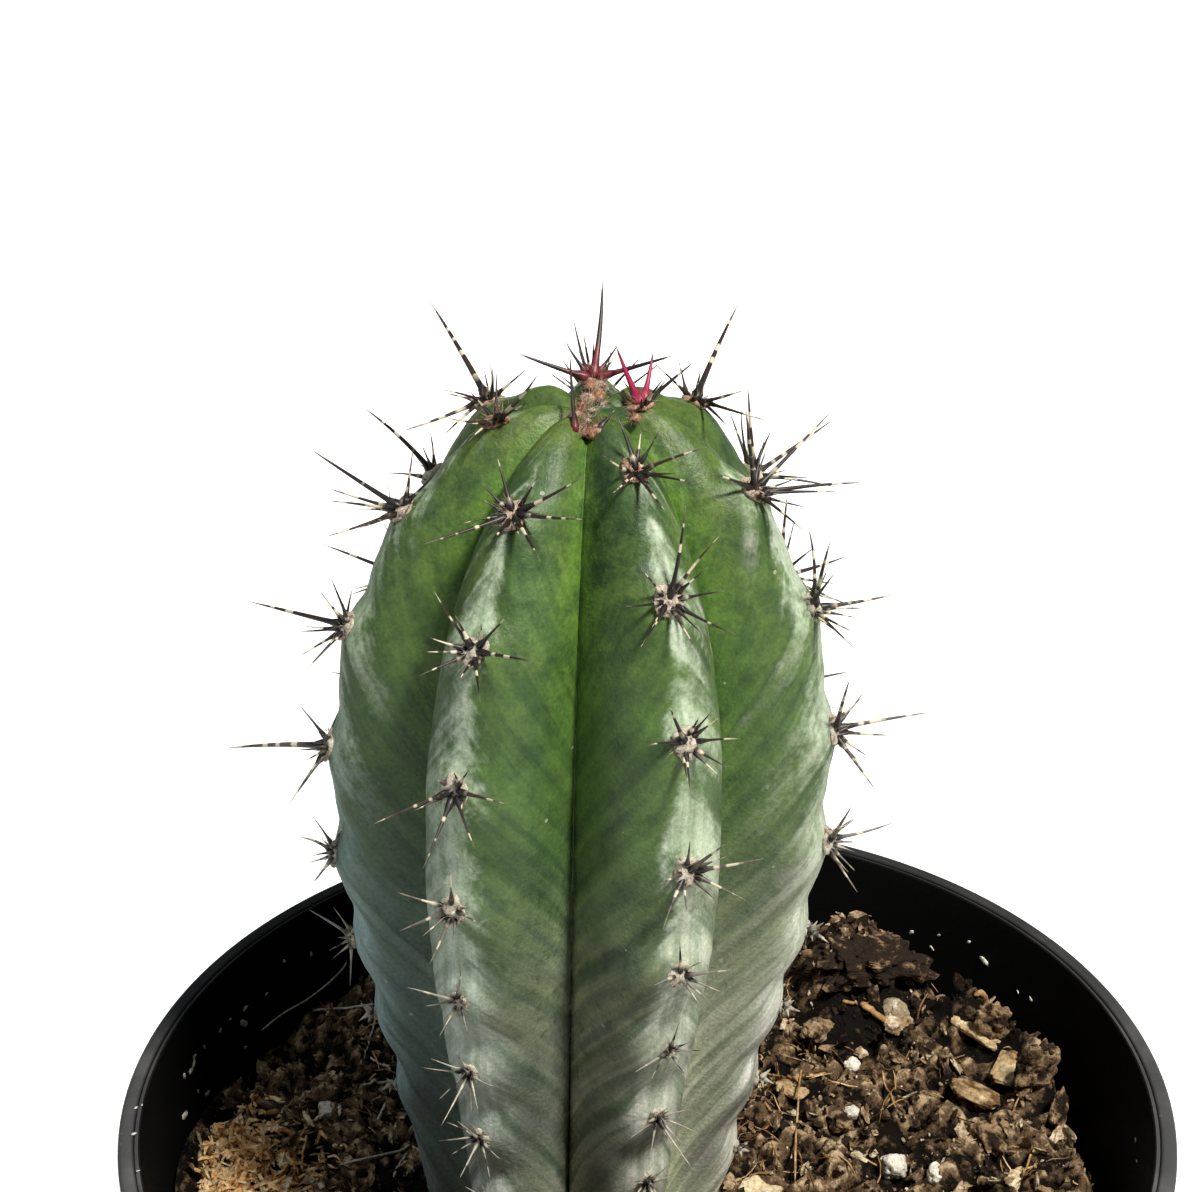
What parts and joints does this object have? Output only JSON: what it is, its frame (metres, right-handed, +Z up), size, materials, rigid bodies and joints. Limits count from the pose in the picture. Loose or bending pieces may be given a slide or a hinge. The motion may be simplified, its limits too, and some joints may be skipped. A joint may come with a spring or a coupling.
{
  "type": "potted columnar cactus",
  "caption": "Young columnar cactus with deep ribs, felted areoles and spines, standing in peaty soil with perlite and bark in a round nursery pot.",
  "frame": {"origin": "on the ground under the middle of the pot", "axes": "+Z up along the pot, -Y towards the front that the picture shows, +X to the right of that front"},
  "size_m": [0.11, 0.11, 0.1787],
  "materials": {
    "pot_plastic": "satin black moulded plastic",
    "cactus_skin": "waxy green skin with a grey bloom",
    "spine": "satin dark spines with pale bands",
    "areole_felt": "matte grey cream felt",
    "peat": "rough crumbly peat",
    "perlite": "rough white porous grain",
    "bark": "rough tan chip"
  },
  "bodies": {
    "root": {"pot": "pot_plastic", "soil": "peat", "cactus": "cactus_skin", "perlite_01": "perlite", "perlite_02": "perlite", "perlite_03": "perlite", "perlite_04": "perlite", "perlite_05": "perlite", "perlite_06": "perlite", "perlite_07": "perlite", "perlite_08": "perlite", "perlite_09": "perlite", "perlite_10": "perlite", "perlite_11": "perlite", "bark_01": "bark", "bark_02": "bark", "bark_03": "bark", "bark_04": "bark", "bark_05": "bark", "bark_06": "bark", "bark_07": "bark"}
  },
  "joints": []
}
